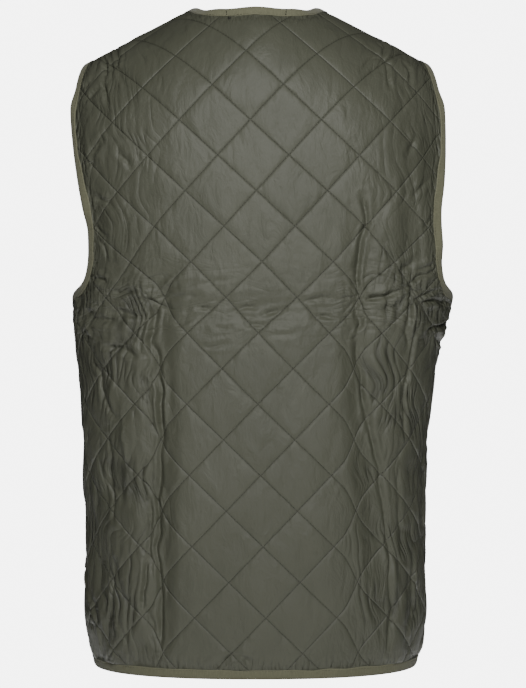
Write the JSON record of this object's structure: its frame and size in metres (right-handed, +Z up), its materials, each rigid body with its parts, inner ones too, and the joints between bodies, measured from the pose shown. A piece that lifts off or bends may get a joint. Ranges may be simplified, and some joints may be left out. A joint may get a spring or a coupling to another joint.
{
  "type": "quilted vest",
  "caption": "Sleeveless hip-length vest of diamond-quilted cloth with taped neck, armholes and hem and a centre-front zip, filled out as worn.",
  "frame": {"origin": "midway between the two points where the shoulder seams meet the neck, at their height, where the wearer's shoulders hold the vest", "axes": "+Z up, +Y towards the vest's back, +X towards the wearer's left side"},
  "size_m": [0.4013, 0.2586, 0.691],
  "materials": {
    "quilted_cloth": "dark olive-grey woven nylon with a soft sheen, quilted in diamonds",
    "binding_tape": "matt olive ribbed braid",
    "zip_tape": "matt dark woven tape",
    "zip_metal": "aged satin brass"
  },
  "bodies": {
    "vest": {"back": "quilted_cloth", "front_left": "quilted_cloth", "front_right": "quilted_cloth", "armhole_binding_left": "binding_tape", "armhole_binding_right": "binding_tape", "neck_binding": "binding_tape", "hem_binding": "binding_tape", "zip_tape_left": "zip_tape", "zip_tape_right": "zip_tape", "zip_box": "zip_metal", "zip_slider": "zip_metal"},
    "pull_tab": {"zip_pull": "zip_metal"}
  },
  "joints": [
    {"name": "pull_swing", "type": "hinge", "parent": "vest", "child": "pull_tab", "pos_m": [0, -0.13074, -0.18175], "axis": [-1, 0, 0], "range_deg": [0, 165]}
  ]
}
